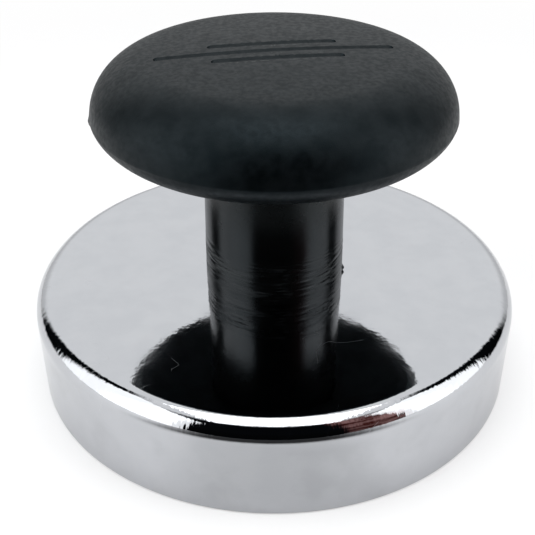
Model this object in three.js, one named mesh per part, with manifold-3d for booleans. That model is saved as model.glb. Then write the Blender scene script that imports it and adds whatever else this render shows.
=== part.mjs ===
// A round pot magnet with a mushroom handle: a drawn steel cup holds a ferrite ring, and a machine
// screw through both holds the handle by the brass insert in its foot.
// Millimetres, +Z up. The origin is the centre of the underside, in the plane of the cup's rim.

import * as THREE from "three";
import { mergeVertices } from "three/addons/utils/BufferGeometryUtils.js";
import Module from "manifold-3d";

// Cup
const CUP_RADIUS = 33.35;
const CUP_HEIGHT = 13.6;
const CUP_EDGE_RADIUS = 2.75;
const CUP_WALL = 2.75;
const CUP_PLATE = 3;
const CUP_INNER_FILLET = 0.8;
const RIM_CHAMFER = 0.35;
const SCREW_HOLE_RADIUS = 3.45;

// Ferrite ring and the resin round it
const MAGNET_RADIUS = 27.5;
const MAGNET_HOLE_RADIUS = 9.5;
const MAGNET_CHAMFER = 0.5;
const FACE_RECESS = 0.25;
const BOND_THICKNESS = 0.3;
const BOND_DEPTH_BELOW_RIM = 1;

// 1/4-20 pan head machine screw, 3/4 in long, and its washers
const THREAD_RADIUS = 3.175;
const SCREW_LENGTH = 19.05;
const SCREW_TIP_CHAMFER = 0.7;
const HEAD_RADIUS = 6.25;
const HEAD_HEIGHT = 3.9;
const HEAD_ROUNDING_HEIGHT = 1.9;
const HEAD_FLAT_RADIUS = 3.9;
const RECESS_SPAN = 6.4;
const RECESS_WING_WIDTH = 1.4;
const RECESS_DEPTH = 2.6;
const RECESS_TAPER = 0.5;
const FLAT_WASHER = { outerRadius: 7.94, holeRadius: 3.57, thickness: 1.65 };
const SPLIT_WASHER = { outerRadius: 6.18, holeRadius: 3.3, thickness: 1.57, slit: 0.8 };
const FOOT_WASHER = { outerRadius: 8, holeRadius: 3.4, thickness: 1 };

// Handle: a hard stem with a disc at its head, and the rubber cap moulded round the disc
const STEM_FOOT_RADIUS = 9.6;
const STEM_TOP_RADIUS = 9.27;
const STEM_FOOT_CHAMFER = 0.3;
const FOOT_RECESS_RADIUS = 8.3;
const FOOT_RECESS_DEPTH = 1.2;
const DISC_RADIUS = 17;
const DISC_THICKNESS = 4;
const DISC_CHAMFER = 0.6;
const CAP_UNDERSIDE = 34.4;
const CAP_TOP = 45.45;
const CAP_SHOULDER_TOP = 45;
const CAP_WIDEST_HEIGHT = 37.9;
const CAP_RADIUS = 23.2;
const CAP_SHOULDER_CENTER_RADIUS = 15;
const DOME_EDGE_QUARTER = 0.955;
const DOME_STEPS = 4;
const CAP_UNDERSIDE_RADIUS = 19;
const CAP_SKIN_BELOW_DISC = 2.5;
const LOWER_CURVE_POWER = 1.6;

// Knurled brass insert, moulded into the stem's foot
const INSERT_RADIUS = 4.75;
const INSERT_LENGTH = 12.7;
const INSERT_GROOVE_RADIUS = 4.25;
const INSERT_GROOVE_WIDTH = 2;
const INSERT_CHAMFER = 0.35;
const TIP_ROOM_HEIGHT = 1.8;
const TIP_ROOM_RADIUS = 3.5;

// Gaps between neighbours: faces that bear on each other, and walls moulded or glued together
const FACE_GAP = 0.03;
const WALL_GAP = 0.1;

// Facets round each turned piece
const WIDE_FACETS = 48;
const SMALL_FACETS = 32;

// Heights that follow from the sizes above
const PLATE_UNDERSIDE = CUP_HEIGHT - CUP_PLATE;
const FLAT_WASHER_TOP = PLATE_UNDERSIDE - FACE_GAP;
const SPLIT_WASHER_TOP = FLAT_WASHER_TOP - FLAT_WASHER.thickness - FACE_GAP;
const HEAD_TOP = SPLIT_WASHER_TOP - SPLIT_WASHER.thickness - FACE_GAP;
const HEAD_BOTTOM = HEAD_TOP - HEAD_HEIGHT;
const SCREW_TIP = HEAD_TOP + SCREW_LENGTH;
const STEM_FOOT = CUP_HEIGHT + FACE_GAP;
const RECESS_CEILING = STEM_FOOT + FOOT_RECESS_DEPTH;
const INSERT_BOTTOM = RECESS_CEILING + WALL_GAP;
const INSERT_TOP = INSERT_BOTTOM + INSERT_LENGTH;
const DISC_UNDERSIDE = CAP_UNDERSIDE + CAP_SKIN_BELOW_DISC;
const DISC_TOP = DISC_UNDERSIDE + DISC_THICKNESS;

const manifold = await Module();
manifold.setup();

const MATERIALS = {
  chrome: new THREE.MeshStandardMaterial({ color: 0xd9dadc, roughness: 0.08, metalness: 1 }),
  zincSteel: new THREE.MeshStandardMaterial({ color: 0xb8bbbd, roughness: 0.35, metalness: 1 }),
  springSteel: new THREE.MeshStandardMaterial({ color: 0x8f9194, roughness: 0.4, metalness: 1 }),
  brass: new THREE.MeshStandardMaterial({ color: 0xc9a250, roughness: 0.3, metalness: 1 }),
  ferrite: new THREE.MeshStandardMaterial({ color: 0x2f3032, roughness: 0.6, metalness: 0 }),
  resin: new THREE.MeshStandardMaterial({ color: 0x3a342b, roughness: 0.25, metalness: 0 }),
  fibre: new THREE.MeshStandardMaterial({ color: 0x6e2f22, roughness: 0.7, metalness: 0 }),
  glossPlastic: new THREE.MeshStandardMaterial({ color: 0x0b0b0c, roughness: 0.2, metalness: 0 }),
  rubber: new THREE.MeshStandardMaterial({ color: 0x17181a, roughness: 0.75, metalness: 0 }),
};

// A curve of [radius, height] corners from angle to angle (in quarter turns, 0 outwards and 1 up)
// of an ellipse, or of a superellipse where power isn't 2.
function curve(center, reach, fromQuarter, toQuarter, steps, power = 2) {
  const corners = [];
  for (let step = 0; step <= steps; step++) {
    const quarter = fromQuarter + ((toQuarter - fromQuarter) * step) / steps;
    const angle = (quarter * Math.PI) / 2;
    const outwards = Math.abs(Math.cos(angle)) ** (2 / power) * Math.sign(Math.cos(angle));
    const upwards = Math.abs(Math.sin(angle)) ** (2 / power) * Math.sign(Math.sin(angle));
    corners.push([center[0] + reach[0] * outwards, center[1] + reach[1] * upwards]);
  }
  return corners;
}

// A solid turned about Z from its half section. A section that starts on the axis ends there too,
// and any other closes on itself.
function turned(section, facets) {
  const outline = section[0][0] === 0 ? section : [...section, section[0]];
  const points = outline.map(([radius, height]) => new THREE.Vector2(radius, height));
  if (THREE.ShapeUtils.area(points) < 0) {
    points.reverse();
  }
  return new THREE.LatheGeometry(points, facets).rotateX(Math.PI / 2);
}

// A flat washer between two heights.
function washer(size, top) {
  const bottom = top - size.thickness;
  return turned(
    [
      [size.holeRadius, bottom],
      [size.outerRadius, bottom],
      [size.outerRadius, top],
      [size.holeRadius, top],
    ],
    SMALL_FACETS,
  );
}

// A geometry as a manifold-3d solid, with its shared corners merged.
function solid(geometry) {
  const bare = geometry.clone();
  bare.deleteAttribute("normal");
  bare.deleteAttribute("uv");
  const merged = mergeVertices(bare);
  return new manifold.Manifold(
    new manifold.Mesh({
      numProp: 3,
      vertProperties: merged.getAttribute("position").array,
      triVerts: new Uint32Array(merged.index.array),
    }),
  );
}

// One geometry with another cut out of it.
function cut(geometry, tool) {
  const mesh = solid(geometry).subtract(solid(tool)).getMesh();
  const result = new THREE.BufferGeometry();
  result.setAttribute("position", new THREE.BufferAttribute(mesh.vertProperties, 3));
  result.setIndex(new THREE.BufferAttribute(mesh.triVerts, 1));
  return result;
}

// The drawn cup: plate and wall in one, its outer edge rounded, with the screw's hole in its centre.
function magnetCup() {
  const innerRadius = CUP_RADIUS - CUP_WALL;
  const edgeCenter = [CUP_RADIUS - CUP_EDGE_RADIUS, CUP_HEIGHT - CUP_EDGE_RADIUS];
  const filletCenter = [innerRadius - CUP_INNER_FILLET, PLATE_UNDERSIDE - CUP_INNER_FILLET];
  return turned(
    [
      [innerRadius + RIM_CHAMFER, 0],
      [CUP_RADIUS - RIM_CHAMFER, 0],
      [CUP_RADIUS, RIM_CHAMFER],
      ...curve(edgeCenter, [CUP_EDGE_RADIUS, CUP_EDGE_RADIUS], 0, 1, 6),
      [SCREW_HOLE_RADIUS, CUP_HEIGHT],
      [SCREW_HOLE_RADIUS, PLATE_UNDERSIDE],
      ...curve(filletCenter, [CUP_INNER_FILLET, CUP_INNER_FILLET], 1, 0, 3),
      [innerRadius, RIM_CHAMFER],
    ],
    WIDE_FACETS,
  );
}

// The ferrite ring, a little inside the rim's plane, so that the rim meets the work first.
function ringMagnet() {
  const top = PLATE_UNDERSIDE - BOND_THICKNESS;
  return turned(
    [
      [MAGNET_HOLE_RADIUS + MAGNET_CHAMFER, FACE_RECESS],
      [MAGNET_RADIUS - MAGNET_CHAMFER, FACE_RECESS],
      [MAGNET_RADIUS, FACE_RECESS + MAGNET_CHAMFER],
      [MAGNET_RADIUS, top],
      [MAGNET_HOLE_RADIUS, top],
      [MAGNET_HOLE_RADIUS, FACE_RECESS + MAGNET_CHAMFER],
    ],
    WIDE_FACETS,
  );
}

// The resin: a thin layer above the ring, and the fill between the ring and the cup's wall.
function epoxyBond() {
  const outerRadius = CUP_RADIUS - CUP_WALL - WALL_GAP;
  const top = PLATE_UNDERSIDE - FACE_GAP;
  const layerBottom = PLATE_UNDERSIDE - BOND_THICKNESS + WALL_GAP;
  const fillInnerRadius = MAGNET_RADIUS + WALL_GAP;
  return turned(
    [
      [fillInnerRadius, BOND_DEPTH_BELOW_RIM],
      [outerRadius, BOND_DEPTH_BELOW_RIM],
      [outerRadius, top - CUP_INNER_FILLET],
      [outerRadius - CUP_INNER_FILLET, top],
      [MAGNET_HOLE_RADIUS, top],
      [MAGNET_HOLE_RADIUS, layerBottom],
      [fillInnerRadius, layerBottom],
    ],
    WIDE_FACETS,
  );
}

// The tapered cross that a driver fits, reaching down from the head's face.
function driverCross() {
  const arm = RECESS_SPAN / 2;
  const wing = RECESS_WING_WIDTH / 2;
  const outline = [];
  for (let quarter = 0; quarter < 4; quarter++) {
    for (const corner of [new THREE.Vector2(arm, wing), new THREE.Vector2(wing, wing)]) {
      outline.push(corner.clone().rotateAround(new THREE.Vector2(), (quarter * Math.PI) / 2));
    }
    const next = new THREE.Vector2(wing, arm);
    outline.push(next.rotateAround(new THREE.Vector2(), (quarter * Math.PI) / 2));
  }
  const start = HEAD_BOTTOM - WALL_GAP;
  const depth = RECESS_DEPTH + WALL_GAP;
  const cross = new THREE.ExtrudeGeometry(new THREE.Shape(outline), { depth, bevelEnabled: false });
  const corners = cross.getAttribute("position");
  for (let index = 0; index < corners.count; index++) {
    const narrowing = 1 - (RECESS_TAPER * corners.getZ(index)) / depth;
    corners.setX(index, corners.getX(index) * narrowing);
    corners.setY(index, corners.getY(index) * narrowing);
  }
  return cross.translate(0, 0, start);
}

// The machine screw, head down. Its thread is a plain cylinder at the thread's outer diameter.
function handleScrew() {
  const roundingCenter = [HEAD_FLAT_RADIUS, HEAD_BOTTOM + HEAD_ROUNDING_HEIGHT];
  const rounding = [HEAD_RADIUS - HEAD_FLAT_RADIUS, HEAD_ROUNDING_HEIGHT];
  const blank = turned(
    [
      [0, HEAD_BOTTOM],
      ...curve(roundingCenter, rounding, -1, 0, 5),
      [HEAD_RADIUS, HEAD_TOP],
      [THREAD_RADIUS, HEAD_TOP],
      [THREAD_RADIUS, SCREW_TIP - SCREW_TIP_CHAMFER],
      [THREAD_RADIUS - SCREW_TIP_CHAMFER, SCREW_TIP],
      [0, SCREW_TIP],
    ],
    SMALL_FACETS,
  );
  return cut(blank, driverCross());
}

// The split lock washer, pressed flat by the screw, with its slit towards +X.
function splitLockWasher() {
  const { outerRadius, holeRadius, thickness, slit } = SPLIT_WASHER;
  const outerAngle = Math.asin(slit / 2 / outerRadius);
  const holeAngle = Math.asin(slit / 2 / holeRadius);
  const outline = new THREE.Shape();
  outline.absarc(0, 0, outerRadius, outerAngle, 2 * Math.PI - outerAngle, false);
  outline.absarc(0, 0, holeRadius, 2 * Math.PI - holeAngle, holeAngle, true);
  const settings = { depth: thickness, bevelEnabled: false, curveSegments: SMALL_FACETS };
  const ring = new THREE.ExtrudeGeometry(outline, settings);
  return ring.translate(0, 0, SPLIT_WASHER_TOP - thickness);
}

// The stem, its washer recess and insert bore, and the disc at its head.
function handleCore() {
  const boreRadius = INSERT_RADIUS + WALL_GAP;
  const boreTop = INSERT_TOP + WALL_GAP;
  const roomTop = boreTop + TIP_ROOM_HEIGHT;
  return turned(
    [
      [0, roomTop],
      [TIP_ROOM_RADIUS, roomTop],
      [TIP_ROOM_RADIUS, boreTop],
      [boreRadius, boreTop],
      [boreRadius, RECESS_CEILING],
      [FOOT_RECESS_RADIUS, RECESS_CEILING],
      [FOOT_RECESS_RADIUS, STEM_FOOT],
      [STEM_FOOT_RADIUS - STEM_FOOT_CHAMFER, STEM_FOOT],
      [STEM_FOOT_RADIUS, STEM_FOOT + STEM_FOOT_CHAMFER],
      [STEM_TOP_RADIUS, CAP_UNDERSIDE],
      [STEM_TOP_RADIUS, DISC_UNDERSIDE],
      [DISC_RADIUS - DISC_CHAMFER, DISC_UNDERSIDE],
      [DISC_RADIUS, DISC_UNDERSIDE + DISC_CHAMFER],
      [DISC_RADIUS, DISC_TOP - DISC_CHAMFER],
      [DISC_RADIUS - DISC_CHAMFER, DISC_TOP],
      [0, DISC_TOP],
    ],
    WIDE_FACETS,
  );
}

// The insert: two knurled lands with a groove between them, bored to clear the screw's thread.
function threadedInsert() {
  const boreRadius = THREAD_RADIUS + WALL_GAP;
  const grooveBottom = (INSERT_BOTTOM + INSERT_TOP - INSERT_GROOVE_WIDTH) / 2;
  const grooveTop = grooveBottom + INSERT_GROOVE_WIDTH;
  return turned(
    [
      [boreRadius + INSERT_CHAMFER, INSERT_BOTTOM],
      [INSERT_RADIUS - INSERT_CHAMFER, INSERT_BOTTOM],
      [INSERT_RADIUS, INSERT_BOTTOM + INSERT_CHAMFER],
      [INSERT_RADIUS, grooveBottom],
      [INSERT_GROOVE_RADIUS, grooveBottom],
      [INSERT_GROOVE_RADIUS, grooveTop],
      [INSERT_RADIUS, grooveTop],
      [INSERT_RADIUS, INSERT_TOP - INSERT_CHAMFER],
      [INSERT_RADIUS - INSERT_CHAMFER, INSERT_TOP],
      [boreRadius, INSERT_TOP],
      [boreRadius, INSERT_BOTTOM + INSERT_CHAMFER],
    ],
    SMALL_FACETS,
  );
}

// The rubber cap: a slightly domed top, a full round shoulder, a tighter curve under it, and the
// hollow that the stem's disc fills. The dome meets the shoulder's curve at the same slope.
function gripCap() {
  const shoulderCenter = [CAP_SHOULDER_CENTER_RADIUS, CAP_WIDEST_HEIGHT];
  const shoulder = [
    CAP_RADIUS - CAP_SHOULDER_CENTER_RADIUS,
    CAP_SHOULDER_TOP - CAP_WIDEST_HEIGHT,
  ];
  const shoulderCurve = curve(shoulderCenter, shoulder, DOME_EDGE_QUARTER, 0, 9);
  const [domeRadius, domeEdgeHeight] = shoulderCurve[0];
  const dome = [];
  for (let step = 0; step < DOME_STEPS; step++) {
    const share = step / DOME_STEPS;
    dome.push([domeRadius * share, CAP_TOP - (CAP_TOP - domeEdgeHeight) * share ** 2]);
  }
  const lowerCenter = [CAP_UNDERSIDE_RADIUS, CAP_WIDEST_HEIGHT];
  const lower = [CAP_RADIUS - CAP_UNDERSIDE_RADIUS, CAP_WIDEST_HEIGHT - CAP_UNDERSIDE];
  const stemHole = STEM_TOP_RADIUS + WALL_GAP;
  const hollowRadius = DISC_RADIUS + WALL_GAP;
  const hollowBottom = DISC_UNDERSIDE - WALL_GAP;
  const hollowTop = DISC_TOP + WALL_GAP;
  return turned(
    [
      ...dome,
      ...shoulderCurve,
      ...curve(lowerCenter, lower, 0, -1, 5, LOWER_CURVE_POWER).slice(1),
      [stemHole, CAP_UNDERSIDE],
      [stemHole, hollowBottom],
      [hollowRadius, hollowBottom],
      [hollowRadius, hollowTop],
      [0, hollowTop],
    ],
    WIDE_FACETS,
  );
}

const holder = new THREE.Group();

function addPiece(name, geometry, material) {
  const mesh = new THREE.Mesh(geometry, material);
  mesh.name = name;
  holder.add(mesh);
}

addPiece("magnet_cup", magnetCup(), MATERIALS.chrome);
addPiece("ring_magnet", ringMagnet(), MATERIALS.ferrite);
addPiece("epoxy_bond", epoxyBond(), MATERIALS.resin);
addPiece("handle_screw", handleScrew(), MATERIALS.zincSteel);
addPiece("split_lock_washer", splitLockWasher(), MATERIALS.springSteel);
addPiece("flat_washer", washer(FLAT_WASHER, FLAT_WASHER_TOP), MATERIALS.zincSteel);
addPiece("foot_washer", washer(FOOT_WASHER, STEM_FOOT + FOOT_WASHER.thickness), MATERIALS.fibre);
addPiece("handle_core", handleCore(), MATERIALS.glossPlastic);
addPiece("threaded_insert", threadedInsert(), MATERIALS.brass);
addPiece("grip_cap", gripCap(), MATERIALS.rubber);

export default holder;
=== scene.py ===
"""The looks of a round pot magnet with a mushroom handle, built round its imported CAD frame.

Metres, +Z up, with the cup's rim at height 0. Every turned piece takes its outer sizes from its CAD
node's box, and its finer shape from the sizes named below.
"""

import math

import bmesh
import bpy
import numpy as np
from mathutils import Matrix, Vector, noise


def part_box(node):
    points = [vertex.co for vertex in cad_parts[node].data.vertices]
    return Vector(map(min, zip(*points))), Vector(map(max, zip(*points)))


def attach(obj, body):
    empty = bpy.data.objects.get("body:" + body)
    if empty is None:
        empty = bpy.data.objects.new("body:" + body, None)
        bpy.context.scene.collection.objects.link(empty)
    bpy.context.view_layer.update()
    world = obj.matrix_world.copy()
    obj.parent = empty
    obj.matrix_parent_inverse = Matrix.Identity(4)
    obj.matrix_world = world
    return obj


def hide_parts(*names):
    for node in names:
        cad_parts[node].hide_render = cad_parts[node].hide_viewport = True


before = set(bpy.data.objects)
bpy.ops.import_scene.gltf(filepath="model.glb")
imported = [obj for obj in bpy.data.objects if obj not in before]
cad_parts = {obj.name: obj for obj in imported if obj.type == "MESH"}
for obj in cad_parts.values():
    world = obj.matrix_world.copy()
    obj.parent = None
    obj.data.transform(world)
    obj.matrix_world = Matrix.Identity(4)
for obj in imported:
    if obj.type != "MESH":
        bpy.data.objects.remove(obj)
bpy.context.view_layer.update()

# Meshes
ON_AXIS = 1e-9
SAME_RADIUS = 1e-6
SHARP_DEGREES = 32

# Roundings and walls of the cup
CUP_EDGE_RADIUS = 0.00275
CUP_WALL = 0.00275
CUP_PLATE = 0.003
CUP_INNER_FILLET = 0.0008
SCREW_HOLE_RADIUS = 0.00345
PLATING_ROUNDING = 0.00035
DRAWN_EDGE_RADII = (0.0302, 0.0318)
DRAWN_EDGE_HEIGHTS = (0.0098, 0.0112)
SMEARED_WALL_TOP = (0.0095, 0.011)

# Ferrite ring and resin
MAGNET_HOLE_RADIUS = 0.0095
MAGNET_CHAMFER = 0.0005
CHIP_REACH = 0.0009
CHIP_DEPTH = 0.00035
WALL_GAP = 0.0001
RESIN_SAG = 0.00045
RESIN_WAVE = 0.00018
RESIN_SMALL_WAVE = 0.00006

# 1/4-20 screw, its washers and the insert
THREAD_PITCH = 0.00127
THREAD_RADIUS = 0.003175
THREAD_DEPTH = 0.5413 * THREAD_PITCH
THREAD_CLEARANCE = 0.00008
HEAD_RADIUS = 0.00625
HEAD_HEIGHT = 0.0039
HEAD_FLAT_RADIUS = 0.0039
HEAD_ROUNDING_HEIGHT = 0.0019
TIP_CHAMFER = 0.0007
DRIVER_SPAN = 0.0064
DRIVER_WING = 0.0014
DRIVER_DEPTH = 0.0026
SHANK_ROWS_PER_TURN = 32
FLAT_WASHER_HOLE = 0.00357
SPLIT_WASHER_HOLE = 0.0033
SPLIT_SLIT = 0.0008
FOOT_WASHER_HOLE = 0.0034
INSERT_GROOVE_DEPTH = 0.0005
INSERT_GROOVE_WIDTH = 0.002
KNURL_TEETH = 36
KNURL_DEPTH = 0.00022
KNURL_PITCH = 0.0011

# Stem and cap
STEM_FOOT_RADIUS = 0.0096
STEM_TOP_RADIUS = 0.00927
FOOT_RECESS_RADIUS = 0.0083
FOOT_RECESS_DEPTH = 0.0012
FOOT_SETTLING = 0.000026
SCUFF_TOP = 0.0212
SCUFF_FULL_TOP = 0.0183
SCUFF_ROWS = 110
SCUFF_RIDGE = 0.00009
SCUFF_STAIN_FROM = (0.0136, 0.0148)
SCUFF_STAIN_TO = (0.0178, 0.0205)
GRIPPED_TOP = (0.0165, 0.0195)
UNTOUCHED_HEIGHTS = (0.022, 0.034)
SPECK_DEGREES = -5
SPECK_SIZE = 0.0003
SPECK_WIDTH = 0.035
SPECK_HEIGHT = 0.0004
TIP_ROOM_RADIUS = 0.0035
TIP_ROOM_HEIGHT = 0.0018
CAP_SKIN_BELOW_DISC = 0.0025
CAP_SHOULDER_CENTER_RADIUS = 0.015
CAP_SHOULDER_TOP = 0.045
DOME_EDGE_QUARTER = 0.955
CAP_UNDERSIDE_RADIUS = 0.019
CAP_WIDEST_HEIGHT = 0.0379
LOWER_CURVE_POWER = 1.6
UNDERSIDE_SLOPE = 0.86
PARTING_LINE_HEIGHT = 0.00004
PARTING_LINE_WIDTH = 0.00022
TORN_FLASH_DEGREES = 191
TORN_FLASH_SIZE = 0.0003
TORN_FLASH_WIDTH = 0.03
TORN_FLASH_HEIGHT = 0.0009
TORN_FLASH_DROP = 0.0007
GROOVE_LENGTHS = (0.015, 0.0285, 0.015)
GROOVE_SPACING = 0.0026
GROOVE_OFFSET = -0.0007
GROOVE_WIDTH = 0.0013
GROOVE_DEPTH = 0.0002
GROOVE_DEGREES = 9

# Studio: a white tent round the object, open at the front. Azimuths turn from front to right.
# Azimuths are in degrees and angles in radians. Cosines are of the turn from the opening, and the
# heights of the back and the roof are the upward part of a direction.
TENT_HALF_WIDTH = 0.35
LEFT_PANEL_AZIMUTHS = (-36, -41, -74, -100)
RIGHT_PANEL_AZIMUTHS = (53, 58, 78, 97)
SIDE_PANEL_HEIGHT = 0.58
ROOF_HEIGHT = 0.6
ROOF_SIZE = (0.46, 0.45)
ROOF_FORWARD = 0.1
ROOF_RADIANCE = 2.1
SIDE_PANEL_RADIANCES = (1.4, 2.1, 1.75)
LIGHT_TINT = (0.985, 0.992, 1.0)
FLOOR_HALF_SIZE = 4.0
FLOOR_GAP = 0.00003
FLOOR_BRIGHT_RADII = (0.046, 0.074)
BACKDROP_RADII = (0.1, 0.22)
BACKDROP_SHARE = 0.4
OPENING_AZIMUTH = -1
# Painted shade on the floor past the tent's open front, seen by reflections and bounced light
FLOOR_OPENING_COSINES = (0.62, 0.95)
# Painted shadow on the floor just in front of the cup, seen by reflections and bounced light
FLOOR_FRONT_COSINES = (0.86, 1.0)
FLOOR_FRONT_SHADOW_PAINT = 0.23
CUP_FOOT_RADII = (0.033, 0.037)
BACK_TURN = 0.018
BACK_EDGE_ANGLES = (0.93, 0.99)
BACK_DIM_HEIGHTS = (0.14, 0.44)
BACK_DIM_SHARE = 0.7
ROOF_EDGE_HEIGHTS = (0.84, 0.89)
CLUTTER_FROM_ANGLES = (0.48, 0.62)
CLUTTER_TO_ANGLES = (1.0, 1.06)
CLOTH_RADIANCE = 1.03
TONE_POINTS = ((0.006, 0.003), (0.02, 0.0165), (0.05, 0.0485), (0.15, 0.15))

# Camera
CAMERA_ELEVATION = math.radians(32.71)
CAMERA_DISTANCE = 0.1249
CAMERA_LENS_MM = 59.04
CAMERA_SHIFT = (-0.0128, -0.0020)


# ---------------------------------------------------------------- outlines and meshes

def curve(center, reach, start, stop, steps, power=2.0):
    """Points (radius, height) on an ellipse or superellipse, from start to stop quarter turns."""
    points = []
    for angle in np.linspace(start, stop, steps + 1) * math.pi / 2:
        outwards = abs(math.cos(angle)) ** (2 / power) * math.copysign(1, math.cos(angle))
        upwards = abs(math.sin(angle)) ** (2 / power) * math.copysign(1, math.sin(angle))
        points.append((center[0] + reach[0] * outwards, center[1] + reach[1] * upwards))
    return points


def rounded(corners, steps=5):
    """A closed outline of (radius, height) points from corners of (radius, height, rounding)."""
    points = []
    count = len(corners)
    for index, (radius, height, rounding) in enumerate(corners):
        corner = Vector((radius, height))
        if rounding == 0:
            points.append((radius, height))
            continue
        before = (Vector(corners[index - 1][:2]) - corner).normalized()
        after = (Vector(corners[(index + 1) % count][:2]) - corner).normalized()
        half_angle = before.angle(after) / 2
        middle = corner + (before + after).normalized() * rounding / math.sin(half_angle)
        first = corner + before * rounding / math.tan(half_angle) - middle
        last = corner + after * rounding / math.tan(half_angle) - middle
        sweep = first.angle_signed(last)
        for step in range(steps + 1):
            turn = Matrix.Rotation(-sweep * step / steps, 2)
            points.append(tuple(middle + turn @ first))
    return points


def divided(points, longest):
    """The same outline with no straight stretch longer than that."""
    result = []
    for index, start in enumerate(points):
        stop = points[(index + 1) % len(points)]
        on_axis = start[0] < ON_AXIS and stop[0] < ON_AXIS
        length = math.dist(start, stop)
        parts = 1 if on_axis else max(1, math.ceil(length / longest))
        for part in range(parts):
            share = part / parts
            result.append(tuple(a + (b - a) * share for a, b in zip(start, stop)))
    return result


def object_of(name, points, faces):
    """A smooth-shaded mesh object, with its faces pointing out and its steeper edges sharp."""
    mesh = bpy.data.meshes.new(name)
    mesh.from_pydata([tuple(p) for p in points], [], faces)
    shaped = bmesh.new()
    shaped.from_mesh(mesh)
    bmesh.ops.recalc_face_normals(shaped, faces=shaped.faces)
    if shaped.calc_volume(signed=True) < 0:
        bmesh.ops.reverse_faces(shaped, faces=shaped.faces)
    shaped.to_mesh(mesh)
    shaped.free()
    made = bpy.data.objects.new(name, mesh)
    bpy.context.scene.collection.objects.link(made)
    soften(made)
    return made


def soften(piece):
    """Smooth shading everywhere but across the steeper edges."""
    piece.data.polygons.foreach_set("use_smooth", [True] * len(piece.data.polygons))
    piece.data.set_sharp_from_angle(angle=math.radians(SHARP_DEGREES))


def turned(name, outline, segments, reshape=None):
    """A piece turned about Z from its outline of (radius, height) points.

    reshape takes and returns arrays of each point's angle, radius and height.
    """
    angles, radii, heights, rings = [], [], [], []
    for radius, height in outline:
        count = 1 if radius < ON_AXIS else segments
        rings.append((len(angles), count))
        angles += [2 * math.pi * step / segments for step in range(count)]
        radii += [radius] * count
        heights += [height] * count
    angle, radius, height = np.array(angles), np.array(radii), np.array(heights)
    if reshape:
        angle, radius, height = reshape(angle, radius, height)
    points = np.column_stack([radius * np.cos(angle), radius * np.sin(angle), height])
    faces = []
    for index, (start, count) in enumerate(rings):
        other_start, other_count = rings[(index + 1) % len(rings)]
        if count == 1 and other_count == 1:
            continue
        for step in range(segments):
            following = (step + 1) % segments
            if count == 1:
                faces.append((start, other_start + following, other_start + step))
            elif other_count == 1:
                faces.append((start + step, start + following, other_start))
            else:
                faces.append(
                    (start + step, start + following, other_start + following, other_start + step)
                )
    return object_of(name, points, faces)


def tube_faces(ring, stations):
    """The faces of a tube with flat ends, from stations of ring points each."""
    faces = []
    for start in range(0, (stations - 1) * ring, ring):
        for step in range(ring):
            following = (step + 1) % ring
            faces.append(
                (start + step, start + following, start + ring + following, start + ring + step)
            )
    faces.append(tuple(range(ring)))
    faces.append(tuple(reversed(range((stations - 1) * ring, stations * ring))))
    return faces


def carve(piece, cutters):
    """Cuts the cutters out of the piece and removes them."""
    for cutter in cutters:
        cut = piece.modifiers.new("cut", "BOOLEAN")
        cut.operation = "DIFFERENCE"
        cut.solver = "EXACT"
        cut.object = cutter
    evaluated = piece.evaluated_get(bpy.context.evaluated_depsgraph_get())
    carved = bpy.data.meshes.new_from_object(evaluated)
    piece.modifiers.clear()
    piece.data = carved
    for cutter in cutters:
        bpy.data.objects.remove(cutter)
    soften(piece)


def smoothstep(low, high, value):
    share = np.clip((value - low) / (high - low), 0, 1)
    return share * share * (3 - 2 * share)


def ripple(angle, height, scale, seed):
    """Smooth noise from -1 to 1 on a cylinder, with features of about 1 / scale radians."""
    points = np.column_stack([np.cos(angle) * scale, np.sin(angle) * scale, height])
    return np.array([noise.noise(Vector(p) + Vector((seed, 0, 0))) for p in points])


# ---------------------------------------------------------------- material nodes

def put(tree, kind, inputs=None, **settings):
    """A new node with its settings, and its inputs given as values or linked from sockets."""
    made = tree.nodes.new(kind)
    for name, value in settings.items():
        setattr(made, name, value)
    for name, value in (inputs or {}).items():
        if isinstance(value, bpy.types.NodeSocket):
            tree.links.new(value, made.inputs[name])
        else:
            made.inputs[name].default_value = value
    return made


def sums(tree, operation, first, second=0.0):
    made = put(tree, "ShaderNodeMath", {0: first, 1: second}, operation=operation)
    return made.outputs[0]


def ramp(tree, value, low, high, result_low=0.0, result_high=1.0):
    """value from low to high becomes result_low to result_high, smoothly and held at both ends."""
    inputs = {0: value, 1: low, 2: high, 3: result_low, 4: result_high}
    made = put(tree, "ShaderNodeMapRange", inputs, interpolation_type="SMOOTHSTEP")
    return made.outputs[0]


def blend_colors(tree, share, first, second):
    made = put(tree, "ShaderNodeMix", {0: share, 6: first, 7: second}, data_type="RGBA")
    return made.outputs[2]


def noise_of(tree, vector, scale, detail=2.0, distortion=0.0):
    inputs = {"Vector": vector, "Scale": scale, "Detail": detail, "Distortion": distortion}
    return put(tree, "ShaderNodeTexNoise", inputs).outputs[0]


def stretched(tree, vector, x, y, z):
    made = put(tree, "ShaderNodeVectorMath", {0: vector, 1: (x, y, z)}, operation="MULTIPLY")
    return made.outputs[0]


def bump(tree, height, distance, normal=None):
    inputs = {"Height": height, "Distance": distance, "Strength": 1.0}
    if normal:
        inputs["Normal"] = normal
    return put(tree, "ShaderNodeBump", inputs).outputs[0]


def round_coordinates(tree, vector):
    """Sockets for the distance from the axis, the angle about it and the height."""
    parts = put(tree, "ShaderNodeSeparateXYZ", {0: vector})
    flat = stretched(tree, vector, 1, 1, 0)
    radius = put(tree, "ShaderNodeVectorMath", {0: flat}, operation="LENGTH").outputs[1]
    angle = sums(tree, "ARCTAN2", parts.outputs[1], parts.outputs[0])
    return radius, angle, parts.outputs[2]


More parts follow.
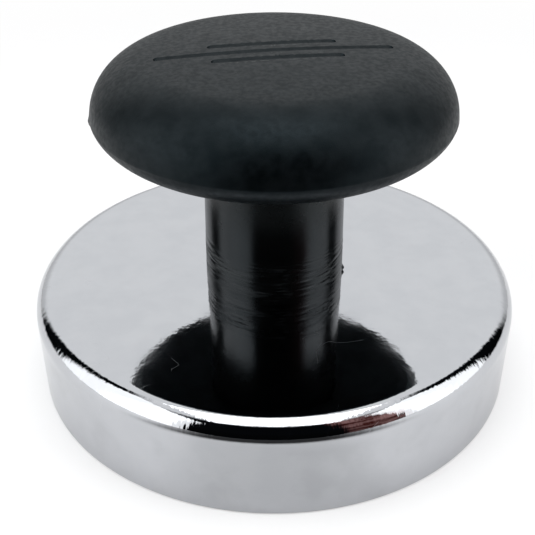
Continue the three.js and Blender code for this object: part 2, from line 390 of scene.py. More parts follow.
def start_material(name, color, **settings):
    """A material with its tree, its shader and its object coordinates."""
    made = bpy.data.materials.new(name)
    made.use_nodes = True
    tree = made.node_tree
    shader = tree.nodes["Principled BSDF"]
    shader.inputs["Base Color"].default_value = (*color, 1)
    for key, value in settings.items():
        shader.inputs[key.replace("_", " ")].default_value = value
    place = put(tree, "ShaderNodeTexCoord").outputs["Object"]
    return made, tree, shader, place


def scratch_lines(tree, place, scale, width, seed):
    """Thin wandering lines, 1 on the line and 0 off it: the contour of a smooth noise."""
    moved = put(tree, "ShaderNodeVectorMath", {0: place, 1: (seed, 0, 0)}).outputs[0]
    field = noise_of(tree, moved, scale, detail=1.0, distortion=0.6)
    distance = sums(tree, "ABSOLUTE", sums(tree, "SUBTRACT", field, 0.5))
    return ramp(tree, distance, 0.0, width, 1.0, 0.0)


def chrome_plate():
    """Bright plating with a faint orange peel, rougher round the drawn edge, and hairline marks."""
    tint = (0.542, 0.558, 0.577)
    made, tree, shader, place = start_material("bright_plating", tint, Metallic=1.0)
    radius, angle, height = round_coordinates(tree, place)
    slow = noise_of(tree, place, 95.0, detail=1.0)
    peel = noise_of(tree, place, 1150.0, detail=2.0)
    fine = noise_of(tree, place, 2600.0, detail=3.0)
    across = put(tree, "ShaderNodeSeparateXYZ", {0: place}).outputs[0]
    arc = sums(tree, "MULTIPLY", angle, 0.032)
    inwards = sums(tree, "MULTIPLY", radius, 0.3)
    drawn = put(tree, "ShaderNodeCombineXYZ", {0: arc, 1: inwards, 2: 0.0})
    drawn_lines = noise_of(tree, drawn.outputs[0], 1700.0, detail=3.0)
    edge = sums(
        tree,
        "MULTIPLY",
        ramp(tree, radius, *DRAWN_EDGE_RADII),
        ramp(tree, height, *DRAWN_EDGE_HEIGHTS),
    )
    beside = sums(tree, "DIVIDE", sums(tree, "ABSOLUTE", across), radius)
    uneven = ramp(tree, beside, 0.5, 0.75, 0.4, 1.2)
    edge_height = sums(tree, "MULTIPLY", sums(tree, "MULTIPLY", edge, uneven), drawn_lines)
    normal = bump(tree, slow, 0.000035)
    normal = bump(tree, peel, 0.0000065, normal)
    normal = bump(tree, fine, 0.0000016, normal)
    normal = bump(tree, edge_height, 0.00004, normal)
    tree.links.new(normal, shader.inputs["Normal"])
    lines = scratch_lines(tree, place, 140.0, 0.0022, 3.0)
    patches = ramp(tree, noise_of(tree, place, 70.0), 0.56, 0.64)
    marks = sums(tree, "MULTIPLY", lines, patches)
    clean = ramp(tree, noise_of(tree, place, 160.0, detail=4.0), 0.35, 0.75, 0.035, 0.085)
    rough = sums(tree, "ADD", clean, sums(tree, "MULTIPLY", marks, 0.3))
    tree.links.new(rough, shader.inputs["Roughness"])
    cloud = ramp(tree, noise_of(tree, place, 260.0, detail=8.0), 0.3, 0.7)
    clear = blend_colors(tree, cloud, (0.54, 0.552, 0.576, 1), (0.566, 0.577, 0.6, 1))
    smears = ramp(tree, noise_of(tree, place, 170.0, detail=6.0), 0.48, 0.7, 0.0, 0.5)
    on_wall = ramp(tree, height, *SMEARED_WALL_TOP, 1.0, 0.0)
    smeared = sums(tree, "MULTIPLY", smears, on_wall)
    color = blend_colors(tree, smeared, clear, (0.46, 0.47, 0.49, 1))
    tree.links.new(color, shader.inputs["Base Color"])
    return made


def soft_rubber(name, specular):
    """Black rubber with a fine moulded grain and a little bloom."""
    made, tree, shader, place = start_material(name, (0.006, 0.0066, 0.007))
    shader.inputs["Specular IOR Level"].default_value = specular
    shader.inputs["Specular Tint"].default_value = (0.7, 0.9, 1.0, 1)
    grain = noise_of(tree, place, 9000.0, detail=2.0)
    pores = noise_of(tree, place, 5200.0, detail=3.0)
    normal = bump(tree, grain, 0.000008)
    normal = bump(tree, pores, 0.000003, normal)
    tree.links.new(normal, shader.inputs["Normal"])
    bloom = noise_of(tree, place, 420.0, detail=9.0)
    share = ramp(tree, bloom, 0.35, 0.65)
    color = blend_colors(tree, share, (0.003, 0.0042, 0.0047, 1), (0.0075, 0.0092, 0.01, 1))
    tree.links.new(color, shader.inputs["Base Color"])
    rough = ramp(tree, noise_of(tree, place, 1600.0, detail=4.0), 0.3, 0.7, 0.39, 0.52)
    tree.links.new(rough, shader.inputs["Roughness"])
    return made


def gloss_stem():
    """Gloss black plastic, scuffed round its lower half."""
    made, tree, shader, place = start_material("gloss_black_plastic", (0.003, 0.003, 0.003))
    shader.inputs["Specular IOR Level"].default_value = 0.34
    shader.inputs["Specular Tint"].default_value = (0.88, 0.97, 1.0, 1)
    angle, height = round_coordinates(tree, place)[1:]
    wound = sums(tree, "ADD", height, sums(tree, "MULTIPLY", angle, 0.00035))
    along = sums(tree, "MULTIPLY", angle, 0.0012)
    around = put(tree, "ShaderNodeCombineXYZ", {0: along, 1: 0.0, 2: wound})
    streaks = noise_of(tree, around.outputs[0], 2400.0, detail=4.0)
    zone = sums(
        tree,
        "MULTIPLY",
        ramp(tree, height, *SCUFF_STAIN_FROM),
        ramp(tree, height, *SCUFF_STAIN_TO, 1.0, 0.0),
    )
    patch = ramp(tree, noise_of(tree, place, 210.0, detail=2.0), 0.4, 0.6)
    stained = sums(tree, "MULTIPLY", zone, patch)
    scuff = sums(tree, "MULTIPLY", stained, ramp(tree, streaks, 0.44, 0.64))
    gripped = ramp(tree, height, *GRIPPED_TOP, 0.26, 0.225)
    under_cap = ramp(tree, height, *UNTOUCHED_HEIGHTS, 0.0, 0.07)
    worn = sums(tree, "ADD", gripped, under_cap)
    rough = sums(tree, "ADD", sums(tree, "MULTIPLY", scuff, 0.2), worn)
    haze = ramp(tree, noise_of(tree, place, 500.0, detail=5.0), 0.35, 0.75, 0.0, 0.05)
    tree.links.new(sums(tree, "ADD", rough, haze), shader.inputs["Roughness"])
    color = blend_colors(tree, scuff, (0.0026, 0.003, 0.0031, 1), (0.028, 0.031, 0.032, 1))
    tree.links.new(color, shader.inputs["Base Color"])
    normal = bump(tree, noise_of(tree, place, 700.0, detail=2.0), 0.0000035)
    normal = bump(tree, scuff, 0.000012, normal)
    tree.links.new(normal, shader.inputs["Normal"])
    return made


def ground_ferrite():
    """Dark sintered ferrite, its face ground with straight fine lines."""
    made, tree, shader, place = start_material("ground_ferrite", (0.055, 0.056, 0.06))
    lines = noise_of(tree, stretched(tree, place, 260.0, 9000.0, 260.0), 1.0, detail=3.0)
    speck = noise_of(tree, place, 2600.0, detail=4.0)
    color = blend_colors(
        tree, ramp(tree, speck, 0.35, 0.7), (0.035, 0.036, 0.039, 1), (0.085, 0.086, 0.09, 1)
    )
    tree.links.new(color, shader.inputs["Base Color"])
    tree.links.new(ramp(tree, lines, 0.3, 0.7, 0.38, 0.62), shader.inputs["Roughness"])
    normal = bump(tree, lines, 0.000006)
    normal = bump(tree, speck, 0.000008, normal)
    tree.links.new(normal, shader.inputs["Normal"])
    return made


def cast_resin():
    """Brown-black potting resin, glossy, with small bubbles."""
    made, tree, shader, place = start_material("potting_resin", (0.03, 0.022, 0.014))
    shader.inputs["Coat Weight"].default_value = 0.25
    cells = put(tree, "ShaderNodeTexVoronoi", {"Vector": place, "Scale": 900.0})
    bubbles = ramp(tree, cells.outputs[0], 0.05, 0.16, 0.0, 1.0)
    cloud = noise_of(tree, place, 320.0, detail=4.0)
    color = blend_colors(tree, cloud, (0.02, 0.0145, 0.009, 1), (0.055, 0.04, 0.024, 1))
    tree.links.new(color, shader.inputs["Base Color"])
    tree.links.new(ramp(tree, cloud, 0.3, 0.7, 0.16, 0.34), shader.inputs["Roughness"])
    normal = bump(tree, bubbles, 0.00003)
    tree.links.new(bump(tree, cloud, 0.00006, normal), shader.inputs["Normal"])
    return made


def plated_steel(name, color, dull_color, roughness, brushed_scale):
    """Zinc-plated or oiled steel, with fine turning lines and duller patches."""
    made, tree, shader, place = start_material(name, color, Metallic=1.0)
    radius, angle, height = round_coordinates(tree, place)
    along = sums(tree, "MULTIPLY", angle, 0.0004)
    rings = put(tree, "ShaderNodeCombineXYZ", {0: radius, 1: along, 2: height})
    lines = noise_of(tree, rings.outputs[0], brushed_scale, detail=3.0)
    cloud = noise_of(tree, place, 380.0, detail=5.0)
    mixed = blend_colors(tree, ramp(tree, cloud, 0.35, 0.7), (*color, 1), (*dull_color, 1))
    tree.links.new(mixed, shader.inputs["Base Color"])
    rough = ramp(tree, cloud, 0.3, 0.75, roughness, roughness + 0.2)
    tree.links.new(rough, shader.inputs["Roughness"])
    normal = bump(tree, lines, 0.000004)
    tree.links.new(bump(tree, cloud, 0.000008, normal), shader.inputs["Normal"])
    return made


def pressed_fibre():
    """Red-brown vulcanised fibre with a mottled, slightly fuzzy face."""
    made, tree, shader, place = start_material("pressed_fibre", (0.2, 0.05, 0.03))
    cloud = noise_of(tree, place, 700.0, detail=6.0)
    combed = stretched(tree, place, 900.0, 5200.0, 900.0)
    strands = noise_of(tree, combed, 1.0, detail=3.0, distortion=1.0)
    color = blend_colors(tree, cloud, (0.13, 0.03, 0.018, 1), (0.3, 0.085, 0.05, 1))
    tree.links.new(color, shader.inputs["Base Color"])
    tree.links.new(ramp(tree, strands, 0.3, 0.7, 0.6, 0.85), shader.inputs["Roughness"])
    tree.links.new(bump(tree, strands, 0.00002), shader.inputs["Normal"])
    return made


# ---------------------------------------------------------------- pieces

def fit(piece, material, node, body):
    """Gives a piece its material and makes it stand for a CAD node."""
    piece.data.materials.clear()
    piece.data.materials.append(material)
    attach(piece, body)
    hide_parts(node)
    return piece


def make_cup():
    low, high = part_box("magnet_cup")
    radius, top = high.x, high.z
    inside, ceiling = radius - CUP_WALL, top - CUP_PLATE
    corners = [
        (inside, low.z, PLATING_ROUNDING),
        (radius, low.z, PLATING_ROUNDING),
        (radius, top, CUP_EDGE_RADIUS),
        (SCREW_HOLE_RADIUS, top, 0.0003),
        (SCREW_HOLE_RADIUS, ceiling, 0.0002),
        (inside, ceiling, CUP_INNER_FILLET),
    ]
    return turned("plated_cup", divided(rounded(corners, steps=14), 0.0015), segments=288)


def make_magnet():
    low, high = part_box("ring_magnet")
    corners = [
        (MAGNET_HOLE_RADIUS, low.z, MAGNET_CHAMFER),
        (high.x, low.z, MAGNET_CHAMFER),
        (high.x, high.z, 0.0003),
        (MAGNET_HOLE_RADIUS, high.z, 0.0003),
    ]

    def chipped(angle, radius, height):
        """Small chips along both lower edges, where the ring was knocked before assembly."""
        from_edge = np.minimum(abs(radius - high.x), abs(radius - MAGNET_HOLE_RADIUS))
        near_edge = smoothstep(CHIP_REACH, 0.0, from_edge)
        near_edge = near_edge * smoothstep(low.z + CHIP_REACH, low.z, height)
        chip = smoothstep(0.25, 0.55, ripple(angle, height * 900, 19, 4.0))
        return angle, radius, height + near_edge * chip * CHIP_DEPTH

    outline = divided(rounded(corners), 0.0006)
    return turned("ferrite_ring", outline, segments=288, reshape=chipped)


def make_resin():
    low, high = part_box("epoxy_bond")
    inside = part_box("ring_magnet")[1].x + WALL_GAP
    layer_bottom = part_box("ring_magnet")[1].z + WALL_GAP
    corners = [
        (inside, low.z - 0.0004, 0.0),
        ((inside + high.x) / 2, low.z + RESIN_SAG, 0.0015),
        (high.x, low.z - 0.0004, 0.0),
        (high.x, high.z, CUP_INNER_FILLET),
        (MAGNET_HOLE_RADIUS, high.z, 0.00004),
        (MAGNET_HOLE_RADIUS, layer_bottom, 0.00004),
        (inside, layer_bottom, 0.00004),
    ]

    def uneven(angle, radius, height):
        """The poured surface between the ring and the cup is a little higher here than there."""
        poured = smoothstep(low.z + 0.0025, low.z + 0.001, height)
        wave = RESIN_WAVE * ripple(angle, radius * 300, 6, 9.0)
        small_wave = RESIN_SMALL_WAVE * ripple(angle, radius * 900, 30, 2.0)
        return angle, radius, height + poured * (wave + small_wave)

    outline = divided(rounded(corners, steps=8), 0.0005)
    return turned("bond_resin", outline, segments=240, reshape=uneven)


def thread_radius(angle, height):
    """The radius of a right-handed 60 degree thread at each angle and height."""
    turn = np.mod(height / THREAD_PITCH - angle / (2 * math.pi), 1.0)
    from_crest = abs(turn - 0.5) * THREAD_PITCH
    flank = np.clip((from_crest - THREAD_PITCH / 16) / (THREAD_PITCH * 5 / 16), 0, 1)
    return THREAD_RADIUS - THREAD_DEPTH * flank


def driver_recess(face_height):
    """The cutter for the head's cross recess, tapering upwards from below the head's face."""
    arm, wing = DRIVER_SPAN / 2, DRIVER_WING / 2
    levels = [
        (-0.0003, 1.05, 1.0),
        (0.0004, 0.95, 0.95),
        (0.6 * DRIVER_DEPTH, 0.55, 0.8),
        (DRIVER_DEPTH, 0.22, 0.35),
    ]
    points = []
    for depth, arm_share, wing_share in levels:
        for quarter in range(4):
            turn = Matrix.Rotation(quarter * math.pi / 2, 2)
            long, short = arm * arm_share, wing * wing_share
            for corner in [(long, -short), (long, short), (short, short)]:
                spot = turn @ Vector(corner)
                points.append((spot.x, spot.y, face_height + depth))
    faces = tube_faces(len(points) // len(levels), len(levels))
    return object_of("driver_recess", points, faces)


def make_screw():
    low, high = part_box("handle_screw")
    head_top = low.z + HEAD_HEIGHT
    rounding_center = (HEAD_FLAT_RADIUS, low.z + HEAD_ROUNDING_HEIGHT)
    rounding = (HEAD_RADIUS - HEAD_FLAT_RADIUS, HEAD_ROUNDING_HEIGHT)
    shank_rows = int((high.z - head_top) / THREAD_PITCH * SHANK_ROWS_PER_TURN)
    shank = [(THREAD_RADIUS, z) for z in np.linspace(head_top, high.z, shank_rows + 1)]
    outline = [
        (0.0, low.z),
        *curve(rounding_center, rounding, -1, 0, 10),
        (HEAD_RADIUS, head_top - 0.00015),
        (HEAD_RADIUS - 0.00015, head_top),
        *shank,
        (0.0, high.z),
    ]

    def threaded(angle, radius, height):
        on_shank = (abs(radius - THREAD_RADIUS) < SAME_RADIUS) & (height > head_top - ON_AXIS)
        run_out = smoothstep(head_top + 0.0002, head_top + 0.0012, height)
        cut = THREAD_RADIUS - (THREAD_RADIUS - thread_radius(angle, height)) * run_out
        chamfer = THREAD_RADIUS - TIP_CHAMFER + (high.z - height)
        return angle, np.where(on_shank, np.minimum(cut, chamfer), radius), height

    screw = turned("pan_head_screw", outline, segments=96, reshape=threaded)
    carve(screw, [driver_recess(low.z)])
    return screw


def make_split_washer():
    low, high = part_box("split_lock_washer")
    outside = high.y
    thickness = high.z - low.z
    section = rounded(
        [
            (SPLIT_WASHER_HOLE, low.z, 0.00012),
            (outside, low.z, 0.00022),
            (outside, high.z, 0.00022),
            (SPLIT_WASHER_HOLE, high.z, 0.00012),
        ],
        steps=4,
    )
    steps = 160
    points = []
    for step in range(steps + 1):
        for radius, height in section:
            slant = (height - low.z - thickness / 2) / outside
            start = SPLIT_SLIT / 2 / outside + slant
            stop = 2 * math.pi - SPLIT_SLIT / 2 / outside + slant
            angle = start + (stop - start) * step / steps
            points.append((radius * math.cos(angle), radius * math.sin(angle), height))
    return object_of("split_washer", points, tube_faces(len(section), steps + 1))


def make_washer(name, node, hole, upper_rounding, lower_rounding):
    low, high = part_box(node)
    corners = [
        (hole, low.z, lower_rounding),
        (high.x, low.z, lower_rounding),
        (high.x, high.z, upper_rounding),
        (hole, high.z, upper_rounding),
    ]
    return turned(name, rounded(corners), segments=160)


def make_stem():
    low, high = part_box("handle_core")
    insert_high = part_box("threaded_insert")[1]
    cap_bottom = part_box("grip_cap")[0].z
    bore = insert_high.x + WALL_GAP
    bore_top = insert_high.z + WALL_GAP
    room_top = bore_top + TIP_ROOM_HEIGHT
    recess = low.z + FOOT_RECESS_DEPTH
    disc_bottom = cap_bottom + CAP_SKIN_BELOW_DISC
    foot = low.z - FOOT_SETTLING
    taper = (STEM_TOP_RADIUS - STEM_FOOT_RADIUS) / (cap_bottom - foot)
    scuffed_heights = np.linspace(foot, SCUFF_TOP, SCUFF_ROWS)
    scuffed_side = [(STEM_FOOT_RADIUS + taper * (z - foot), z, 0.0) for z in scuffed_heights]
    corners = [
        (0.0, room_top, 0.0),
        (TIP_ROOM_RADIUS, room_top, 0.0003),
        (TIP_ROOM_RADIUS, bore_top, 0.0002),
        (bore, bore_top, 0.00015),
        (bore, recess, 0.0001),
        (FOOT_RECESS_RADIUS, recess, 0.0002),
        (FOOT_RECESS_RADIUS, foot, 0.00008),
        *scuffed_side,
        (STEM_TOP_RADIUS, cap_bottom, 0.0),
        (STEM_TOP_RADIUS, disc_bottom, 0.0),
        (high.x, disc_bottom, 0.0005),
        (high.x, high.z, 0.0006),
        (0.0, high.z, 0.0),
    ]

    def scuffed(angle, radius, height):
        """Fine uneven rings round the foot, where the stem was gripped, and a speck of flash."""
        on_side = (radius > STEM_TOP_RADIUS - SAME_RADIUS) & (height > foot + 0.0001)
        outside = on_side & (height < cap_bottom)
        zone = smoothstep(foot + 0.0002, foot + 0.001, height)
        zone = zone * smoothstep(SCUFF_TOP, SCUFF_FULL_TOP, height)
        rings = ripple(angle, height * 2300, 1.3, 6.0)
        rings = rings + 0.5 * ripple(angle, height * 5200, 2.0, 12.0)
        patchy = smoothstep(-0.3, 0.35, ripple(angle, height * 260, 1.4, 2.0))
        ridge = SCUFF_RIDGE * zone * (0.2 + 0.8 * patchy) * rings
        from_speck = np.mod(angle - math.radians(SPECK_DEGREES) + math.pi, 2 * math.pi) - math.pi
        above = (height - foot - SPECK_HEIGHT) / SPECK_HEIGHT
        speck = SPECK_SIZE * np.exp(-((from_speck / SPECK_WIDTH) ** 2) - above**2)
        return angle, np.where(outside, radius + ridge + speck, radius), height

    outline = divided(rounded(corners), 0.0004)
    return turned("stem_and_disc", outline, segments=360, reshape=scuffed)


def make_insert():
    low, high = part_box("threaded_insert")
    middle = (low.z + high.z) / 2
    groove_low, groove_high = middle - INSERT_GROOVE_WIDTH / 2, middle + INSERT_GROOVE_WIDTH / 2
    groove = high.x - INSERT_GROOVE_DEPTH
    bore = THREAD_RADIUS + THREAD_CLEARANCE
    corners = [
        (bore, low.z, 0.0),
        (high.x, low.z, 0.00035),
        (high.x, groove_low, 0.0001),
        (groove, groove_low, 0.0001),
        (groove, groove_high, 0.0001),
        (high.x, groove_high, 0.0001),
        (high.x, high.z, 0.00035),
        (bore, high.z, 0.0),
    ]

    def cut(angle, radius, height):
        """Diamond knurling on both lands, and the internal thread, countersunk at both mouths."""
        around = KNURL_TEETH * angle / (2 * math.pi)
        left = abs(np.mod(around + height / KNURL_PITCH, 1.0) - 0.5) * 2
        right = abs(np.mod(around - height / KNURL_PITCH, 1.0) - 0.5) * 2
        knurl = KNURL_DEPTH * np.maximum(1 - left, 1 - right)
        on_land = radius > high.x - 0.00005
        radius = np.where(on_land, radius - knurl, radius)
        in_bore = abs(radius - bore) < SAME_RADIUS
        threaded = thread_radius(angle, height) + THREAD_CLEARANCE
        countersink = bore - np.minimum(height - low.z, high.z - height)
        return angle, np.where(in_bore, np.maximum(threaded, countersink), radius), height

    outline = divided(rounded(corners), THREAD_PITCH / 20)
    return turned("brass_insert", outline, segments=192, reshape=cut)


def groove_cutter(length, width, depth, center, turn, surface):
    """A groove with round ends and sloping sides, cut to one depth below the surface.

    surface gives the height of the piece's top at a distance from its axis.
    """
    place = Matrix.Translation((*center, 0)) @ Matrix.Rotation(turn, 4, "Z")
    round_end = [math.radians(degrees) for degrees in range(10, 90, 16)]
    left_end = [(-length / 2 - math.cos(a) * width / 2, math.sin(a)) for a in round_end]
    straight = [(x, 1.0) for x in np.linspace(-length / 2, length / 2, 30)]
    right_end = [(-x, share) for x, share in reversed(left_end)]
    above = 0.0004
    section = ((-1, above), (-1, 0), (-0.45, -depth), (0.45, -depth), (1, 0), (1, above))
    points = []
    stations = left_end + straight + right_end
    for along, share in stations:
        for across, height in section:
            spot = place @ Vector((along, across * width / 2 * share, 0))
            points.append((spot.x, spot.y, surface(math.hypot(spot.x, spot.y)) + height))
    return object_of("groove_cutter", points, tube_faces(len(section), len(stations)))


def make_cap():
    low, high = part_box("grip_cap")
    disc_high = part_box("handle_core")[1]
    disc_bottom = low.z + CAP_SKIN_BELOW_DISC
    shoulder_center = (CAP_SHOULDER_CENTER_RADIUS, CAP_WIDEST_HEIGHT)
    shoulder_reach = (high.x - CAP_SHOULDER_CENTER_RADIUS, CAP_SHOULDER_TOP - CAP_WIDEST_HEIGHT)
    shoulder = curve(shoulder_center, shoulder_reach, DOME_EDGE_QUARTER, 0, 40)
    dome_radius, dome_edge = shoulder[0]
    lower = (high.x - CAP_UNDERSIDE_RADIUS, CAP_WIDEST_HEIGHT - low.z)
    stem_hole = STEM_TOP_RADIUS + WALL_GAP
    hollow = disc_high.x + WALL_GAP

    def dome(radius):
        """The height of the domed top, which meets the shoulder at the shoulder's own slope."""
        return high.z - (high.z - dome_edge) * (radius / dome_radius) ** 2

    outline = [
        *[(radius, dome(radius)) for radius in np.linspace(0, dome_radius, 24)[:-1]],
        *shoulder,
        *curve((CAP_UNDERSIDE_RADIUS, CAP_WIDEST_HEIGHT), lower, 0, -1, 28, LOWER_CURVE_POWER)[1:],
        (stem_hole + 0.0002, low.z),
        (stem_hole, low.z + 0.0002),
        (stem_hole, disc_bottom - WALL_GAP),
        (hollow, disc_bottom - WALL_GAP),
        (hollow, disc_high.z + WALL_GAP),
        (0.0, disc_high.z + WALL_GAP),
    ]

    def moulded(angle, radius, height):
        """The mould's parting line round the widest part, and a torn speck of flash on it."""
        from_line = (height - CAP_WIDEST_HEIGHT) / PARTING_LINE_WIDTH
        outside = radius > CAP_UNDERSIDE_RADIUS + 0.002
        line = PARTING_LINE_HEIGHT * np.exp(-(from_line**2))
        around = (angle - math.radians(TORN_FLASH_DEGREES)) / TORN_FLASH_WIDTH
        above = (height - CAP_WIDEST_HEIGHT + TORN_FLASH_DROP) / TORN_FLASH_HEIGHT
        torn = TORN_FLASH_SIZE * np.exp(-(around**2) - above**2)
        return angle, np.where(outside, radius + line + torn, radius), height

    cap = turned("rubber_cap", divided(outline, 0.0012), segments=288, reshape=moulded)
    turn = math.radians(GROOVE_DEGREES)
    across = Vector((-math.sin(turn), math.cos(turn)))
    cutters = []
    for row, length in zip((-1, 0, 1), GROOVE_LENGTHS):
        center = across * (GROOVE_SPACING * row + GROOVE_OFFSET)
        cutters.append(groove_cutter(length, GROOVE_WIDTH, GROOVE_DEPTH, center, turn, dome))
    carve(cap, cutters)
    return cap


def shade_underside(cap, material):
    """Painted shade: the cap's down-facing underside gets a copy of the rubber with less sheen, so
    it reads darker than its top.
    """
    cap.data.materials.append(material)
    for face in cap.data.polygons:
        if face.normal.z < -UNDERSIDE_SLOPE:
            face.material_index = 1


fit(make_cup(), chrome_plate(), "magnet_cup", "magnet_base")
fit(make_magnet(), ground_ferrite(), "ring_magnet", "magnet_base")
fit(make_resin(), cast_resin(), "epoxy_bond", "magnet_base")
zinc = plated_steel("zinc_plated_steel", (0.62, 0.63, 0.62), (0.45, 0.46, 0.45), 0.24, 5200.0)
fit(make_screw(), zinc, "handle_screw", "magnet_base")
spring = plated_steel("dark_spring_steel", (0.36, 0.36, 0.37), (0.24, 0.235, 0.235), 0.3, 3600.0)
fit(make_split_washer(), spring, "split_lock_washer", "magnet_base")
plain_washer = make_washer("plain_washer", "flat_washer", FLAT_WASHER_HOLE, 0.0001, 0.00035)
fit(plain_washer, zinc, "flat_washer", "magnet_base")
fibre_washer = make_washer("fibre_washer", "foot_washer", FOOT_WASHER_HOLE, 0.00012, 0.00012)
fit(fibre_washer, pressed_fibre(), "foot_washer", "washer")
fit(make_stem(), gloss_stem(), "handle_core", "handle")
brass = plated_steel("turned_brass", (0.74, 0.56, 0.27), (0.58, 0.42, 0.19), 0.22, 4200.0)
fit(make_insert(), brass, "threaded_insert", "handle")
cap = fit(make_cap(), soft_rubber("soft_black_rubber", 0.17), "grip_cap", "handle")
# Painted shade: the cap's down-facing faces get a copy of the rubber with less sheen.
shade_underside(cap, soft_rubber("shaded_black_rubber", 0.04))


# ---------------------------------------------------------------- floor, light and camera

def make_floor():
    """A pale floor that fades into the white backdrop.

    Reflections and bounced light see it with painted shade, coloured dark past the tent's open
    front, and with a painted shadow just in front of the cup.
    """
    half = FLOOR_HALF_SIZE
    points = [(-half, -half, 0), (half, -half, 0), (half, half, 0), (-half, half, 0)]
    floor = object_of("floor", points, [(0, 1, 2, 3)])
    floor.location.z = -FLOOR_GAP
    made, tree, shader, place = start_material("pale_floor", (0.9, 0.9, 0.9), Roughness=0.9)
    shader.inputs["Specular IOR Level"].default_value = 0.1
    radius = round_coordinates(tree, place)[0]
    turn = math.radians(OPENING_AZIMUTH)
    opening = (math.sin(turn), -math.cos(turn), 0)
    along = put(tree, "ShaderNodeVectorMath", {0: place, 1: opening}, operation="DOT_PRODUCT")
    frontwards = sums(tree, "DIVIDE", along.outputs[1], radius)
    # Painted shade: past the tent's open front the floor is coloured dark for reflections and
    # bounced light.
    outside = sums(
        tree,
        "MULTIPLY",
        ramp(tree, frontwards, *FLOOR_OPENING_COSINES),
        ramp(tree, radius, *FLOOR_BRIGHT_RADII),
    )
    # Painted shadow: just in front of the cup the floor is coloured darker for reflections and
    # bounced light, where the object's shade falls.
    painted_front_shadow = sums(
        tree,
        "MULTIPLY",
        ramp(tree, frontwards, *FLOOR_FRONT_COSINES, 0.0, FLOOR_FRONT_SHADOW_PAINT),
        ramp(tree, radius, *CUP_FOOT_RADII, 0.6, 1.0),
    )
    seen = put(tree, "ShaderNodeLightPath").outputs["Is Camera Ray"]
    indirect = sums(tree, "SUBTRACT", 1.0, seen)
    dark = sums(tree, "MULTIPLY", sums(tree, "MAXIMUM", outside, painted_front_shadow), indirect)
    pale = blend_colors(tree, indirect, (0.98, 0.98, 0.98, 1), (0.88, 0.88, 0.88, 1))
    color = blend_colors(tree, dark, pale, (0.03, 0.03, 0.03, 1))
    tree.links.new(color, shader.inputs["Base Color"])
    backdrop = put(tree, "ShaderNodeEmission", {0: (1.0, 1.0, 1.0, 1)})
    far = sums(tree, "MULTIPLY", ramp(tree, radius, *BACKDROP_RADII, BACKDROP_SHARE, 1.0), seen)
    mixed = put(tree, "ShaderNodeMixShader", {0: far, 1: shader.outputs[0], 2: backdrop.outputs[0]})
    tree.links.new(mixed.outputs[0], tree.nodes["Material Output"].inputs[0])
    floor.data.materials.append(made)


def add_panel(name, center, facing, width, height, radiance):
    """A soft rectangular light of a given brightness: one white wall of the tent."""
    light = bpy.data.lights.new(name, "AREA")
    light.shape = "RECTANGLE"
    light.size = width
    light.size_y = height
    light.energy = radiance * math.pi * width * height
    light.color = LIGHT_TINT
    panel = bpy.data.objects.new(name, light)
    panel.location = center
    panel.rotation_euler = Vector(facing).to_track_quat("-Z", "Y").to_euler()
    bpy.context.scene.collection.objects.link(panel)


def add_side_panels(name, side, azimuths):
    """A wall of the tent beside the object, in three parts, brightest in the middle."""
    ends = [-TENT_HALF_WIDTH * side / math.tan(math.radians(azimuth)) for azimuth in azimuths]
    parts = ("front", "middle", "back")
    for start, stop, part, radiance in zip(ends, ends[1:], parts, SIDE_PANEL_RADIANCES):
        center = (side * TENT_HALF_WIDTH, (start + stop) / 2, SIDE_PANEL_HEIGHT / 2 + 0.01)
        width = abs(stop - start)
        add_panel(f"{name}_{part}", center, (-side, 0, 0), width, SIDE_PANEL_HEIGHT, radiance)


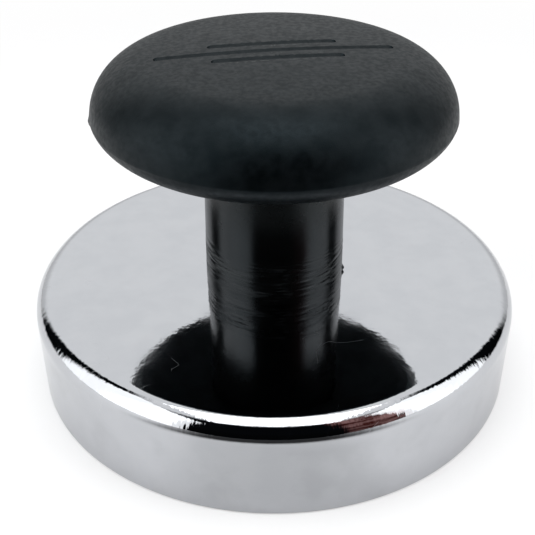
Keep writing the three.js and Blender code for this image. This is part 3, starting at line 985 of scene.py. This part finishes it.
def make_surroundings():
    """The tent's pale back and roof, dimmer low down, and the dim room past its open front.

    The camera itself sees plain white.
    """
    world = bpy.data.worlds.new("studio")
    bpy.context.scene.world = world
    world.use_nodes = True
    tree = world.node_tree
    tree.nodes.clear()
    direction = put(tree, "ShaderNodeTexCoord").outputs["Generated"]
    parts = put(tree, "ShaderNodeSeparateXYZ", {0: direction})
    from_back = sums(tree, "ARCTAN2", parts.outputs[0], parts.outputs[1])
    off_center = sums(tree, "ABSOLUTE", sums(tree, "SUBTRACT", from_back, BACK_TURN))
    back = ramp(tree, off_center, *BACK_EDGE_ANGLES, 1.0, 0.0)
    roof = ramp(tree, parts.outputs[2], *ROOF_EDGE_HEIGHTS)
    cloth = sums(tree, "MAXIMUM", back, roof)
    brightness = ramp(tree, parts.outputs[2], *BACK_DIM_HEIGHTS, BACK_DIM_SHARE, 1.0)
    forwards = sums(tree, "MULTIPLY", parts.outputs[1], -1.0)
    from_front = sums(tree, "ARCTAN2", parts.outputs[0], forwards)
    beside_camera = sums(
        tree,
        "MULTIPLY",
        ramp(tree, from_front, *CLUTTER_FROM_ANGLES),
        ramp(tree, from_front, *CLUTTER_TO_ANGLES, 1.0, 0.0),
    )
    clutter = ramp(tree, noise_of(tree, direction, 5.0, detail=4.0), 0.35, 0.65)
    warm = blend_colors(tree, clutter, (0.06, 0.016, 0.014, 1), (0.36, 0.2, 0.19, 1))
    room_color = blend_colors(tree, beside_camera, (0.006, 0.007, 0.008, 1), warm)
    cloth_color = (*[CLOTH_RADIANCE * part for part in LIGHT_TINT], 1)
    color = blend_colors(tree, cloth, room_color, cloth_color)
    room = put(tree, "ShaderNodeBackground", {0: color, 1: brightness})
    plain = put(tree, "ShaderNodeBackground", {0: (1.0, 1.0, 1.0, 1), 1: 1.0})
    seen = put(tree, "ShaderNodeLightPath").outputs["Is Camera Ray"]
    mixed = put(tree, "ShaderNodeMixShader", {0: seen, 1: room.outputs[0], 2: plain.outputs[0]})
    put(tree, "ShaderNodeOutputWorld", {0: mixed.outputs[0]})


def make_camera():
    """The camera looks down along +Y at the centre of the plate."""
    target = Vector((0, 0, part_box("magnet_cup")[1].z))
    back = Vector((0, -math.cos(CAMERA_ELEVATION), math.sin(CAMERA_ELEVATION)))
    data = bpy.data.cameras.new("camera")
    data.lens = CAMERA_LENS_MM
    data.shift_x, data.shift_y = CAMERA_SHIFT
    data.clip_start = 0.005
    data.clip_end = 50
    camera = bpy.data.objects.new("camera", data)
    camera.location = target + back * CAMERA_DISTANCE
    camera.rotation_euler = (-back).to_track_quat("-Z", "Y").to_euler()
    bpy.context.scene.collection.objects.link(camera)
    bpy.context.scene.camera = camera


def develop_picture():
    """Plain colours, with the deepest shadows pulled down as a camera's own curve does."""
    view = bpy.context.scene.view_settings
    view.view_transform = "Standard"
    view.use_curve_mapping = True
    tone = view.curve_mapping.curves[3]
    for shade, shown in TONE_POINTS:
        tone.points.new(shade, shown)
    view.curve_mapping.update()


make_floor()
add_side_panels("left_panel", -1, LEFT_PANEL_AZIMUTHS)
add_side_panels("right_panel", 1, RIGHT_PANEL_AZIMUTHS)
add_panel("roof_panel", (0, -ROOF_FORWARD, ROOF_HEIGHT), (0, 0, -1), *ROOF_SIZE, ROOF_RADIANCE)
make_surroundings()
make_camera()
develop_picture()
